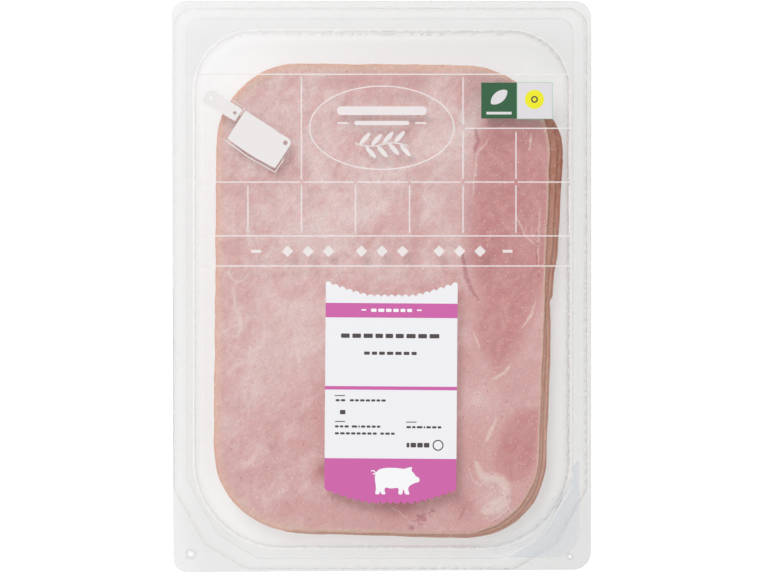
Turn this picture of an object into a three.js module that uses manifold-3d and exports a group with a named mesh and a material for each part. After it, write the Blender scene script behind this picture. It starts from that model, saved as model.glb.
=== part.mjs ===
// A sealed pack of sliced smoked ham, lying on its back: a clear formed tray, a clear lid film
// over its flange, a paper label on the film, and a fanned stack of seven slices inside.
//
// Millimetres, +Z up. The origin is the middle of the pack on the surface that it lies on.
// +X is the right and +Y is the top of the pack, as the label reads.

import * as THREE from "three";
import { mergeVertices } from "three/addons/utils/BufferGeometryUtils.js";
import Module from "manifold-3d";

const wasm = await Module();
wasm.setup();

// ---- Driving dimensions ----------------------------------------------------------------

const HALF_WIDTH = 72.65; // of the flange, across its upper corners
const HALF_LENGTH = 98.8;
const FLANGE_TOP = 15; // height of the flange's top face over the tray's underside
const WALL = 0.6; // thickness of the formed plastic
const CLEARANCE = 0.3; // between pieces that touch

// The flange is cut a little out of square: how far its two lower corners sit inside the box.
const LOWER_LEFT_IN = 0.7;
const LOWER_RIGHT_IN = 0.2;
const LOWER_RIGHT_UP = 0.9;
const FLANGE_RADIUS = { topLeft: 5, topRight: 6, lowerLeft: 4.7, lowerRight: 6.2 };

// The well that holds the ham. Its lower corners are rounder, to leave room for the peel tabs.
const WELL = { left: -64.4, right: 64.6, bottom: -90.1, top: 88.1 };
const WELL_UPPER_RADIUS = 20;
const WELL_LOWER_RADIUS = 30;
const WELL_LIP = 1; // radius from the flange down into the wall
const WELL_DRAFT = 1.5; // how far the wall leans in from the lip to the foot
const WELL_FOOT = 2.5; // radius from the wall to the floor

// The heat seal, a low raised band. Each line is given by its distance inside the box.
const SEAL_RISE = 0.3;
const SEAL_OUTER = { left: 0.9, right: 1.7, top: 2.5, bottom: 1.2, radius: 6.4 };
const SEAL_INNER = { left: 5.3, right: 6.4, top: 6.2, bottom: 4.7, radius: 4.9 };

// The seal cuts off both lower corners in two straight runs, which leaves the peel tabs.
const PEEL_UP = 27.4;
const PEEL_ALONG = 24.6;
const PEEL_KNEE = { in: 10.4, up: 8.6 };
const PEEL_RADIUS = 4;

// Small dimples pressed down into the tabs, so that the film comes off them easily.
const DIMPLE_DEPTH = 1.1;
const DIMPLE_TAPER = 0.6; // how much smaller a dimple is at its bottom
const DIMPLES = [
  { x: -66.0, y: -92.6, radius: 1.7 },
  { x: 65.2, y: -93.4, radius: 1.1 },
];

const FILM_THICKNESS = 0.25;
const FILM_INSET = 0.15; // the film's cut edge, inside the flange's

const LABEL = { x: 3.3, y: -34.1, width: 45.6, height: 71.3, thickness: 0.15 };
const LABEL_TURN = THREE.MathUtils.degToRad(-0.4);
const LABEL_TOP_DIP = 5.4; // how deep the top edge dips in the middle
const LABEL_FOOT_HANG = 4.6; // how far the bottom edge hangs in the middle
const LABEL_CURVE_POWER = 2.4; // above 2, so that both curves are flatter in the middle
const LABEL_BUMPS = 19; // along each of the two edges
const LABEL_BUMP_HEIGHT = 0.8;

// The ham: an upright loaf's cross-section, wider at the top of the pack than at its foot.
const SLICE_COUNT = 7;
const SLICE_THICKNESS = 1.05;
const SLICE_OUTLINE = [
  // x, y and radius of each corner, counter-clockwise from the lower left
  { x: -58.4, y: -84.6, radius: 29 },
  { x: 53.6, y: -86.6, radius: 22 },
  { x: 59.6, y: 76.6, radius: 26 },
  { x: -57.2, y: 77.8, radius: 29 },
];
const SLICE_POINTS = 72; // round the outline
const SLICE_RINGS = [0.4, 0.75, 1]; // rings of points, as shares of the way to the edge
const SLICE_WAVE = 0.35; // how far the topmost slice rises and falls
const SLICE_WAVE_LENGTH = { x: 118, y: 163 };
const SLICE_RAGGED = 0.35; // how far the cut edge wanders
const FAN = { x: 3.8, y: -1.5 }; // how far the furthest slice slides out of the stack
const FAN_SPAN = 6.5; // slices over which the stack bows out and back in
const FAN_TURN = THREE.MathUtils.degToRad(0.35); // how far that slice turns, clockwise

const ARC_STEP = THREE.MathUtils.degToRad(10); // of the round corners
const PROFILE_STEPS = 3; // of the lip's and the foot's rounding

// ---- Finishes ----------------------------------------------------------------------------

const trayPlastic = () =>
  new THREE.MeshStandardMaterial({
    color: 0xe9eae9,
    roughness: 0.12,
    metalness: 0,
    transparent: true,
    opacity: 0.35,
  });

const filmPlastic = () =>
  new THREE.MeshStandardMaterial({
    color: 0xf0f0ef,
    roughness: 0.08,
    metalness: 0,
    transparent: true,
    opacity: 0.2,
  });

const labelPaper = () =>
  new THREE.MeshStandardMaterial({ color: 0xeeeef0, roughness: 0.5, metalness: 0 });

const hamMeat = () =>
  new THREE.MeshStandardMaterial({ color: 0xd9aaa6, roughness: 0.45, metalness: 0 });

// ---- Outlines ----------------------------------------------------------------------------

// A closed outline through corners given counter-clockwise, each rounded to its own radius.
function roundedOutline(corners) {
  const points = [];
  corners.forEach((corner, index) => {
    const here = new THREE.Vector2(corner.x, corner.y);
    const before = corners.at(index - 1);
    const after = corners[(index + 1) % corners.length];
    const toBefore = new THREE.Vector2(before.x, before.y).sub(here).normalize();
    const toAfter = new THREE.Vector2(after.x, after.y).sub(here).normalize();
    const halfAngle = Math.acos(toBefore.dot(toAfter)) / 2;
    const turn = Math.PI - 2 * halfAngle;
    const middle = toBefore.clone().add(toAfter).normalize();
    const centre = here.clone().addScaledVector(middle, corner.radius / Math.sin(halfAngle));
    const start = here.clone().addScaledVector(toBefore, corner.radius / Math.tan(halfAngle));
    const spoke = start.sub(centre);
    const steps = Math.max(1, Math.round(turn / ARC_STEP));
    for (let step = 0; step <= steps; step += 1) {
      const angle = (turn * step) / steps;
      points.push(spoke.clone().rotateAround(new THREE.Vector2(), angle).add(centre));
    }
  });
  return points;
}

// The same closed outline as a given number of evenly spaced points.
function evenlySpaced(outline, count) {
  const path = new THREE.CurvePath();
  outline.forEach((point, index) => {
    path.add(new THREE.LineCurve(point, outline[(index + 1) % outline.length]));
  });
  return path.getSpacedPoints(count).slice(0, count);
}

function flangeOutline(inset) {
  const radius = (name) => FLANGE_RADIUS[name] - inset;
  return roundedOutline([
    {
      x: -HALF_WIDTH + LOWER_LEFT_IN + inset,
      y: -HALF_LENGTH + inset,
      radius: radius("lowerLeft"),
    },
    {
      x: HALF_WIDTH - LOWER_RIGHT_IN - inset,
      y: -HALF_LENGTH + LOWER_RIGHT_UP + inset,
      radius: radius("lowerRight"),
    },
    { x: HALF_WIDTH - inset, y: HALF_LENGTH - inset, radius: radius("topRight") },
    { x: -HALF_WIDTH + inset, y: HALF_LENGTH - inset, radius: radius("topLeft") },
  ]);
}

function wellOutline(inset) {
  const left = WELL.left + inset;
  const right = WELL.right - inset;
  const bottom = WELL.bottom + inset;
  const top = WELL.top - inset;
  return roundedOutline([
    { x: left, y: bottom, radius: WELL_LOWER_RADIUS - inset },
    { x: right, y: bottom, radius: WELL_LOWER_RADIUS - inset },
    { x: right, y: top, radius: WELL_UPPER_RADIUS - inset },
    { x: left, y: top, radius: WELL_UPPER_RADIUS - inset },
  ]);
}

function sealOutline(line) {
  const left = -HALF_WIDTH + line.left;
  const right = HALF_WIDTH - line.right;
  const bottom = -HALF_LENGTH + line.bottom;
  const top = HALF_LENGTH - line.top;
  const kneeUp = bottom + PEEL_KNEE.up;
  return roundedOutline([
    { x: left + PEEL_ALONG, y: bottom, radius: PEEL_RADIUS },
    { x: right - PEEL_ALONG, y: bottom, radius: PEEL_RADIUS },
    { x: right - PEEL_KNEE.in, y: kneeUp, radius: PEEL_RADIUS },
    { x: right, y: bottom + PEEL_UP, radius: PEEL_RADIUS },
    { x: right, y: top, radius: line.radius },
    { x: left, y: top, radius: line.radius },
    { x: left, y: bottom + PEEL_UP, radius: PEEL_RADIUS },
    { x: left + PEEL_KNEE.in, y: kneeUp, radius: PEEL_RADIUS },
  ]);
}

// ---- Solids ------------------------------------------------------------------------------

// A closed skin over rings of points, from the lowest ring out, up and in to the last one.
// Every ring runs counter-clockwise, and a fan closes each end.
function skinOver(rings) {
  const count = rings[0].length;
  const vertices = rings.flat();
  const indices = [];
  for (let ring = 0; ring + 1 < rings.length; ring += 1) {
    for (let point = 0; point < count; point += 1) {
      const a = ring * count + point;
      const b = ring * count + ((point + 1) % count);
      indices.push(a, b, b + count, a, b + count, a + count);
    }
  }
  const lastRing = (rings.length - 1) * count;
  const firstHub = vertices.push(middleOf(rings[0])) - 1;
  const lastHub = vertices.push(middleOf(rings.at(-1))) - 1;
  for (let point = 0; point < count; point += 1) {
    const next = (point + 1) % count;
    indices.push(firstHub, next, point, lastHub, lastRing + point, lastRing + next);
  }
  const geometry = new THREE.BufferGeometry().setFromPoints(vertices);
  geometry.setIndex(indices);
  return geometry;
}

function middleOf(points) {
  const sum = points.reduce((total, point) => total.add(point), new THREE.Vector3());
  return sum.divideScalar(points.length);
}

function ringAt(outline, z) {
  return outline.map((point) => new THREE.Vector3(point.x, point.y, z));
}

function plate(outline, bottom, thickness) {
  const shape = new THREE.Shape(outline);
  const geometry = new THREE.ExtrudeGeometry(shape, { depth: thickness, bevelEnabled: false });
  return geometry.translate(0, 0, bottom);
}

function solidOf(geometry) {
  const bare = geometry.clone();
  bare.deleteAttribute("normal");
  bare.deleteAttribute("uv");
  const merged = mergeVertices(bare);
  const vertProperties = merged.attributes.position.array;
  const triVerts = new Uint32Array(merged.index.array);
  return new wasm.Manifold(new wasm.Mesh({ numProp: 3, vertProperties, triVerts }));
}

function geometryOf(solid) {
  const { vertProperties, triVerts } = solid.getMesh();
  const geometry = new THREE.BufferGeometry();
  geometry.setAttribute("position", new THREE.BufferAttribute(vertProperties, 3));
  geometry.setIndex(new THREE.BufferAttribute(triVerts, 1));
  geometry.computeVertexNormals();
  return geometry;
}

// ---- Tray --------------------------------------------------------------------------------

// The well's wall seen in section, from the floor up: the inset from the well's outline and
// the height of each point, for the face that lies a given depth inside the plastic.
function wellProfile(depth) {
  const quarter = (step) => (Math.PI / 2) * (step / PROFILE_STEPS);
  const profile = [];
  for (let step = 0; step <= PROFILE_STEPS; step += 1) {
    const reach = WELL_FOOT + depth;
    profile.push({
      inset: WELL_DRAFT + WELL_FOOT - reach * Math.sin(quarter(step)),
      z: WALL + WELL_FOOT - reach * Math.cos(quarter(step)),
    });
  }
  for (let step = 0; step <= PROFILE_STEPS; step += 1) {
    const reach = WELL_LIP - depth;
    profile.push({
      inset: -WELL_LIP + reach * Math.cos(quarter(step)),
      z: FLANGE_TOP - WELL_LIP + reach * Math.sin(quarter(step)),
    });
  }
  return profile;
}

// The well as a filled body, carried up past its lip to a given height.
function wellBody(depth, top) {
  const profile = wellProfile(depth);
  const rim = profile.at(-1);
  profile.push({ inset: rim.inset, z: top });
  return solidOf(skinOver(profile.map(({ inset, z }) => ringAt(wellOutline(inset), z))));
}

function sealBand() {
  const outer = solidOf(plate(sealOutline(SEAL_OUTER), FLANGE_TOP - WALL / 2, WALL / 2 + SEAL_RISE));
  const inner = solidOf(plate(sealOutline(SEAL_INNER), FLANGE_TOP - WALL, WALL + 2 * SEAL_RISE));
  return outer.subtract(inner);
}

// A dimple's round body, narrower at its bottom. Grown by the wall it is the dimple's outside.
function dimpleBody(dimple, grow, top) {
  const low = FLANGE_TOP - DIMPLE_DEPTH - grow;
  const profile = [
    new THREE.Vector2(0, low),
    new THREE.Vector2(dimple.radius - DIMPLE_TAPER + grow, low),
    new THREE.Vector2(dimple.radius + grow, top),
    new THREE.Vector2(0, top),
  ];
  const segments = 14;
  const geometry = new THREE.LatheGeometry(profile, segments);
  return solidOf(geometry.rotateX(Math.PI / 2).translate(dimple.x, dimple.y, 0));
}

function trayGeometry() {
  let tray = solidOf(plate(flangeOutline(0), FLANGE_TOP - WALL, WALL));
  tray = tray.add(wellBody(WALL, FLANGE_TOP - WALL / 2));
  tray = tray.add(sealBand());
  for (const dimple of DIMPLES) {
    tray = tray.add(dimpleBody(dimple, WALL / 2, FLANGE_TOP - WALL / 2));
    tray = tray.subtract(dimpleBody(dimple, 0, FLANGE_TOP + WALL));
  }
  return geometryOf(tray.subtract(wellBody(0, FLANGE_TOP + WALL)));
}

// ---- Label -------------------------------------------------------------------------------

// The label's outline about its own middle: straight sides, a top edge that dips in round
// bumps, and a bottom edge that hangs in pointed teeth.
function labelOutline() {
  const halfWidth = LABEL.width / 2;
  const halfHeight = LABEL.height / 2;
  const curve = (across) => 1 - Math.abs(across) ** LABEL_CURVE_POWER;
  const points = [];
  for (let tooth = 0; tooth <= 2 * LABEL_BUMPS; tooth += 1) {
    const across = tooth / LABEL_BUMPS - 1;
    const foot = LABEL_FOOT_HANG * curve(across) + (tooth % 2) * LABEL_BUMP_HEIGHT;
    points.push(new THREE.Vector2(across * halfWidth, -halfHeight - foot));
  }
  const bumpSteps = 4 * LABEL_BUMPS;
  for (let step = 0; step <= bumpSteps; step += 1) {
    const across = 1 - (2 * step) / bumpSteps;
    const bump = Math.abs(Math.sin((Math.PI * step) / 4)) * LABEL_BUMP_HEIGHT;
    const head = bump - LABEL_TOP_DIP * curve(across);
    points.push(new THREE.Vector2(across * halfWidth, halfHeight + head));
  }
  return points;
}

// ---- Ham ---------------------------------------------------------------------------------

// How far a slice's edge wanders out or in at a place on its outline, different on each slice.
function raggedness(share, slice) {
  const around = 2 * Math.PI * share;
  const broad = Math.sin(4 * around + 1.7 * slice);
  const middling = 0.6 * Math.sin(9 * around + 2.9 * slice);
  const fine = 0.4 * Math.sin(15 * around + 4.1 * slice);
  return (SLICE_RAGGED * (broad + middling + fine)) / 2;
}

function sliceOutline(slice) {
  const smooth = evenlySpaced(roundedOutline(SLICE_OUTLINE), SLICE_POINTS);
  return smooth.map((point, index) => {
    const reach = point.length() + raggedness(index / SLICE_POINTS, slice);
    return point.clone().setLength(reach);
  });
}

// The slices lie flat on the floor and wave more towards the top of the stack.
function waveAt(x, y, slice) {
  const along = Math.cos((2 * Math.PI * x) / SLICE_WAVE_LENGTH.x + 0.6);
  const up = Math.sin((2 * Math.PI * y) / SLICE_WAVE_LENGTH.y + 0.4);
  return SLICE_WAVE * (slice / SLICE_COUNT) * along * up;
}

function sliceGeometry(slice) {
  const outline = sliceOutline(slice);
  const wavyRing = (share, lift) =>
    outline.map(({ x, y }) => {
      const z = lift + waveAt(x * share, y * share, slice);
      return new THREE.Vector3(x * share, y * share, z);
    });
  const underside = SLICE_RINGS.map((share) => wavyRing(share, 0));
  const topside = SLICE_RINGS.map((share) => wavyRing(share, SLICE_THICKNESS)).reverse();
  return skinOver([...underside, ...topside]);
}

// ---- The pack ----------------------------------------------------------------------------

function namedMesh(name, geometry, material) {
  const mesh = new THREE.Mesh(geometry, material);
  mesh.name = name;
  return mesh;
}

// The slices, numbered from the floor up. Each lies square on the one below, and the stack
// bows out to the right and down, so that the edges of the upper slices show there.
function hamStack() {
  const stack = new THREE.Group();
  const pitch = SLICE_THICKNESS + CLEARANCE;
  for (let slice = 1; slice <= SLICE_COUNT; slice += 1) {
    const below = SLICE_COUNT - slice;
    const bow = Math.sin((Math.PI * below) / FAN_SPAN);
    const mesh = namedMesh(`ham_slice_${slice}`, sliceGeometry(slice), hamMeat());
    mesh.position.set(FAN.x * bow, FAN.y * bow, (slice - 1) * pitch);
    mesh.rotation.z = -FAN_TURN * bow;
    stack.add(mesh);
  }
  stack.position.z = WALL + CLEARANCE;
  return stack;
}

function lid() {
  const film = namedMesh("lid_film", plate(flangeOutline(FILM_INSET), 0, FILM_THICKNESS), filmPlastic());
  const label = namedMesh("label", plate(labelOutline(), 0, LABEL.thickness), labelPaper());
  label.position.set(LABEL.x, LABEL.y, FILM_THICKNESS + CLEARANCE);
  label.rotation.z = LABEL_TURN;
  const lidGroup = new THREE.Group();
  lidGroup.add(film, label);
  lidGroup.position.z = FLANGE_TOP + SEAL_RISE + CLEARANCE;
  return lidGroup;
}

const hamPack = new THREE.Group();
hamPack.add(namedMesh("tray", trayGeometry(), trayPlastic()));
hamPack.add(hamStack());
hamPack.add(lid());

export default hamPack;
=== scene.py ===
"""The looks of a sealed pack of smoked ham: clear tray and film, printed label, sliced ham.

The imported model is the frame. Lengths are in millimetres in the pack's own frame, +X right
and +Y up as the label reads, +Z out of the film. The stage, lights and camera are in metres.
"""

import math

import bpy
import numpy as np
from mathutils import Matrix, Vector, geometry, kdtree, noise


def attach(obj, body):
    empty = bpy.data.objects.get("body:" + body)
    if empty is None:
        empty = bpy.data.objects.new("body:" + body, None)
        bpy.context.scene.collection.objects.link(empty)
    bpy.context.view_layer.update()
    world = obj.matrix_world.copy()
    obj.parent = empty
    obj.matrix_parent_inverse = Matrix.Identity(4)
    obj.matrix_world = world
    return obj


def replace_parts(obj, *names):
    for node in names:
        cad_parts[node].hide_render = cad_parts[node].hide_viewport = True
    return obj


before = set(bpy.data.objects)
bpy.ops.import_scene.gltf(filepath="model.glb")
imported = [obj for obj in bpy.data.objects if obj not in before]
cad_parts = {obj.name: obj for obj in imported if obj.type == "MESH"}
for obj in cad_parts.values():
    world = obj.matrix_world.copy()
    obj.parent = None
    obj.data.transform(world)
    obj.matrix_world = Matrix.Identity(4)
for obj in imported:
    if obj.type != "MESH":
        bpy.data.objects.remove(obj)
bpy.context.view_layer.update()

MM = 0.001

# ---- The pack's sizes, and how its plastic shows ----

HALF_WIDTH = 72.65
HALF_LENGTH = 98.8
FLANGE_CORNERS = (
    (-HALF_WIDTH + 0.7, -HALF_LENGTH, 4.7), (HALF_WIDTH - 0.2, -HALF_LENGTH + 0.9, 6.2),
    (HALF_WIDTH, HALF_LENGTH, 6.0), (-HALF_WIDTH, HALF_LENGTH, 5.0),
)
FLANGE_TOP = 15.0
WALL = 0.5
WELL_CORNERS = ((-64.4, -90.1, 30.0), (64.6, -90.1, 30.0), (64.6, 88.1, 20.0), (-64.4, 88.1, 20.0))
WELL_LIP = 1.0
WELL_DRAFT = 1.5
WELL_FOOT = 2.5
WELL_FLOOR = 0.6
UNDERSIDE = 0.02  # the tray's lowest point
SEAL_RISE = 0.35
SEAL_STEP = 0.25  # width of the little slopes beside the seal
LIP_LINE = 0.23  # how dark the painted shade line at the well's edge shows
LINES_RIGHT = 0.5  # by what share the painted shade lines are darker at the right, away from the light
TOP_SPECKS = 0.4  # how dark the specks below the well's top edge show
SEAL_LINE = 0.27  # how dark the painted shade lines at the seal's two edges show
EDGE_LINE = 0.3  # and the painted shade line at the flange's cut edge
EDGE_LINE_WIDTH = 0.3
EDGE_WAVES = ((0.16, 23, 0.0), (0.1, 41, 1.3))  # height, how many round the pack, and start
EDGE_WAVE_IN = 3.0  # how far out of the seal they reach their height
PAINTED_SHADE_RISE = (0.04, -0.015)  # painted shade: how much more the plastic's grey haze shows at the right, and at the top
FLANGE_FROST = (0.34, 1.0)  # what the flange scatters, and how many times that painted shade rise it has
SEAL_FROST = (0.32, 1.0)  # and the seal
WELL_FROST = (0.17, 2.4)  # and the thin well
SEAL_OUTER = {"left": 0.9, "right": 1.7, "top": 2.5, "bottom": 1.2, "radius": 6.4}
SEAL_INNER = {"left": 5.3, "right": 6.4, "top": 6.2, "bottom": 4.7, "radius": 4.9}
# The seal's corners round a peel tab: how far in from its side, and up from its foot.
TAB_CORNERS = ((24.6, 0.0), (10.4, 8.6), (0.0, 27.4))
TAB_RADIUS = 4.0
DIMPLES = ((-66.0, -92.6, 1.7), (65.2, -93.4, 1.1))

FILM_INSET = 0.15
FILM_THICKNESS = 0.1
FILM_SEALED = FLANGE_TOP + SEAL_RISE + 0.02  # its underside over the seal
FILM_RAISED = 0.33  # how much higher it lies inside the seal
FILM_SLOPE = 1.0
FILM_DROOP = 0.12  # how much lower it lies outside the seal
FILM_DROOP_IN = 2.5  # and how far out of the seal it is down there
FILM_WAVE = 1.2  # how many times as high as the flange's its edge's waves are
FILM_TOP = FILM_SEALED + FILM_RAISED + FILM_THICKNESS
INK = 0.02  # thickness of what is printed

LABEL_MIDDLE = (3.3, -34.1)
LABEL_TURN = math.radians(-0.4)
LABEL_WIDTH = 45.6
LABEL_HEIGHT = 71.3
LABEL_TOP_DIP = 4.8
LABEL_TOP_DOWN = 0.4  # how far its upper corners lie below its drawn height
LABEL_FOOT_HANG = 4.6
LABEL_FLAT = 0.3  # share of the half width where the ends run level
LABEL_BEND_POWER = 1.3
LABEL_BUMPS = 19
LABEL_BUMP_HEIGHT = 0.9
LABEL_TOOTH_HEIGHT = 1.0
LABEL_THICKNESS = 0.14
LABEL_GAP = 0.01  # between it and the film
LABEL_GLOW = 0.32  # how strongly its underside glows: painted light for the light that comes through it
FOOT_BAND = -25.4  # where its magenta foot begins, from its middle

SLICE_COUNT = 7
SLICE_CORNERS = ((-58.4, -84.6, 29.0), (53.6, -86.6, 28.0), (59.6, 76.6, 30.0), (-57.2, 77.8, 29.0))
FAN = (3.8, -1.2)  # how far the slices below stray from the top one
FAN_SPAN = 6.5
FAN_TURN = math.radians(-0.35)
SLICE_PITCH = 1.35
SLICE_THICKNESS = 1.27
SLICE_REST = 0.86  # height of the lowest slice's underside
# By how much the right edges of the slices below stray, at heights up the pack.
EDGE_HEIGHTS = (-80, -66, -56, -18, -4, -2.5, 6, 12, 34, 54, 58, 64)
EDGE_SHIFTS = (0.0, -0.7, -0.6, -0.9, -1.9, -0.8, -0.8, 0.2, 0.5, 0.7, 0.2, -1.2)
RAGGED = ((0.3, 0.16, 7.1), (0.14, 0.7, 3.3))  # how deep, how fine, and where each slice's is
SLICE_WAVE = 0.35  # how high the slices bulge
SLICE_WAVE_LENGTH = (118.0, 163.0)


def srgb(red, green, blue):
    """A colour given as the photograph's 0-255 values, as linear light with alpha 1."""
    linear = []
    for value in (red, green, blue):
        share = value / 255
        linear.append(share / 12.92 if share <= 0.04045 else ((share + 0.055) / 1.055) ** 2.4)
    return (*linear, 1.0)


# ---- Outlines ----


def rounded_outline(corners, step_degrees=6):
    """A closed outline through (x, y, radius) corners given counter-clockwise."""
    points = []
    for index, (x, y, radius) in enumerate(corners):
        here = np.array((x, y))
        to_before = np.array(corners[index - 1][:2]) - here
        to_after = np.array(corners[(index + 1) % len(corners)][:2]) - here
        to_before = to_before / np.linalg.norm(to_before)
        to_after = to_after / np.linalg.norm(to_after)
        half_angle = math.acos(float(to_before @ to_after)) / 2
        turn = math.pi - 2 * half_angle
        middle = to_before + to_after
        centre = here + middle / np.linalg.norm(middle) * radius / math.sin(half_angle)
        spoke = here + to_before * radius / math.tan(half_angle) - centre
        steps = max(1, round(math.degrees(turn) / step_degrees))
        for step in range(steps + 1):
            angle = turn * step / steps
            cos, sin = math.cos(angle), math.sin(angle)
            turned = (spoke[0] * cos - spoke[1] * sin, spoke[0] * sin + spoke[1] * cos)
            points.append(centre + np.array(turned))
    return np.array(points)


def evenly_spaced(outline, count):
    """The same closed outline as so many points at even distances along it."""
    closed = np.vstack((outline, outline[:1]))
    lengths = np.linalg.norm(np.diff(closed, axis=0), axis=1)
    along = np.concatenate(((0.0,), np.cumsum(lengths)))
    wanted = np.linspace(0, along[-1], count, endpoint=False)
    return np.column_stack([np.interp(wanted, along, closed[:, axis]) for axis in (0, 1)])


def inset_outline(corners, inset=0.0):
    """The rounded outline through corners on all sides of the middle, drawn in by so much."""
    drawn_in = []
    for x, y, radius in corners:
        drawn_in.append((x - inset * np.sign(x), y - inset * np.sign(y), radius - inset))
    return rounded_outline(drawn_in)


def seal_outline(line):
    """One edge of the heat seal, which leaves a peel tab free at each lower corner."""
    left, right = -HALF_WIDTH + line["left"], HALF_WIDTH - line["right"]
    bottom, top = -HALF_LENGTH + line["bottom"], HALF_LENGTH - line["top"]
    corners = [(right - along, bottom + up, TAB_RADIUS) for along, up in TAB_CORNERS]
    corners += [(right, top, line["radius"]), (left, top, line["radius"])]
    corners += [(left + along, bottom + up, TAB_RADIUS) for along, up in TAB_CORNERS[::-1]]
    return rounded_outline(corners)


# ---- Mesh helpers ----


def in_scene(name, data):
    """A new object in the scene, with its mesh, light or camera."""
    made = bpy.data.objects.new(name, data)
    bpy.context.scene.collection.objects.link(made)
    return made


def new_piece(name, mesh, material):
    """A finished piece of the visual model: it rides on the pack's one body."""
    piece = in_scene(name, mesh)
    mesh.materials.append(material)
    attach(piece, "root")
    return piece


def new_mesh(name, vertices, faces):
    mesh = bpy.data.meshes.new(name)
    mesh.from_pydata(vertices, [], faces)
    mesh.update()
    return mesh


def mesh_of_rings(name, rings):
    """A closed smooth mesh over rings of millimetre points, with a fan over each end.

    The rings run counter-clockwise, out under the piece, up, and back in over it.
    """
    stacked = np.array(rings, float)
    hubs = stacked[[0, -1]].mean(axis=1)
    vertices = np.vstack((stacked.reshape(-1, 3), hubs)) * MM
    here = np.arange(stacked[..., 0].size).reshape(stacked.shape[:2])
    after = np.roll(here, -1, axis=1)
    quads = np.stack((here[:-1], after[:-1], after[1:], here[1:]), axis=-1).reshape(-1, 4)
    faces = quads.tolist()
    first_hub, last_hub = here.size, here.size + 1
    faces += [(first_hub, b, a) for a, b in zip(here[0].tolist(), after[0].tolist())]
    faces += [(last_hub, a, b) for a, b in zip(here[-1].tolist(), after[-1].tolist())]
    mesh = new_mesh(name, vertices.tolist(), faces)
    mesh.shade_smooth()
    return mesh


def mark(mesh, **marks):
    """Gives every point of a mesh the numbers that its material reads by these names."""
    for name, values in marks.items():
        attribute = mesh.attributes.new(name, "FLOAT", "POINT")
        attribute.data.foreach_set("value", np.asarray(values, np.float32))


ALL_TRIANGLES = 0  # the triangulation's own number for this kind of result
PLATE_PITCH = 6.0  # how far apart the points within a wide plate are


def filled(outlines):
    """The points and triangles that fill a shape's outline, but not its holes."""
    points, edges = [], []
    for outline in outlines:
        first, count = len(points), len(outline)
        points += [Vector((float(x), float(y))) for x, y in outline]
        edges += [(first + index, first + (index + 1) % count) for index in range(count)]
    points += lattice(outlines[0], PLATE_PITCH)
    flat, _, triangles = geometry.delaunay_2d_cdt(points, edges, [], ALL_TRIANGLES, 1e-4)[:3]
    middles = [sum((flat[index] for index in face), Vector((0, 0))) / 3 for face in triangles]
    kept = np.logical_xor.reduce([inside(np.array(middles), outline) for outline in outlines])
    return flat, [face for face, keep in zip(triangles, kept) if keep]


def flat_mesh(name, shapes, bottom, thickness):
    """Thin closed plates. A shape is its outline, or its outline and then those of its holes."""
    vertices, faces = [], []
    for shape in shapes:
        flat, triangles = filled(outlines_of(shape))
        low = len(vertices)
        high = low + len(flat)
        for height in (bottom, bottom + thickness):
            vertices += [(x * MM, y * MM, height * MM) for x, y in flat]
        for a, b, c in triangles:
            faces += [(high + a, high + b, high + c), (low + c, low + b, low + a)]
        sides = {(face[index - 1], face[index]) for face in triangles for index in range(3)}
        for a, b in sides:
            if (b, a) not in sides:
                faces.append((low + a, low + b, high + b, high + a))
    return new_mesh(name, vertices, faces)


def outlines_of(shape):
    """A shape's outline, and those of its holes if it has any."""
    return [shape] if np.ndim(shape[0]) == 1 else shape


def inside(points, outline):
    """Which points lie in a closed outline."""
    x, y = points.T
    result = np.zeros(len(points), bool)
    corners = [(float(ax), float(ay)) for ax, ay in outline]
    for (ax, ay), (bx, by) in zip(corners, corners[1:] + corners[:1]):
        if ay != by:
            result ^= ((ay > y) != (by > y)) & (x < (bx - ax) * (y - ay) / (by - ay) + ax)
    return result


def lattice(outline, pitch):
    """Evenly spread points over an outline's box, so that wide plates get even triangles."""
    corner, far = np.min(outline, axis=0), np.max(outline, axis=0)
    columns = np.arange(corner[0] + pitch / 2, far[0], pitch)
    rows = np.arange(corner[1] + pitch / 2, far[1], pitch)
    return [Vector((x, y)) for x in columns for y in rows]


# ---- Flat shapes for the print ----


def box_shape(left, bottom, right, top):
    return ((left, bottom), (right, bottom), (right, top), (left, top))


def disc_shape(x, y, radius, steps=28):
    return oval_shape(x, y, radius, radius, steps)


def oval_shape(x, y, half_width, half_height, steps=72):
    angles = np.linspace(0, 2 * math.pi, steps, endpoint=False)
    return np.column_stack((x + half_width * np.cos(angles), y + half_height * np.sin(angles)))


def rounded_box(left, bottom, right, top, radius):
    corners = [(x, y, radius) for x, y in box_shape(left, bottom, right, top)]
    return rounded_outline(corners, 15)


def placed(outline, middle, turn):
    """An outline turned about its own origin and moved to its place on the pack."""
    cos, sin = math.cos(turn), math.sin(turn)
    return [(middle[0] + x * cos - y * sin, middle[1] + x * sin + y * cos) for x, y in outline]


def placed_shapes(shapes, middle, turn):
    """Shapes turned and moved, with the holes of those that have any."""
    return [[placed(outline, middle, turn) for outline in outlines_of(shape)] for shape in shapes]


# ---- Node helpers ----


MIX_COLOUR_INPUTS = (0, 6, 7)  # a Mix node has sockets for numbers, vectors and colours
MIX_COLOUR_OUTPUT = 2


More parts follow.
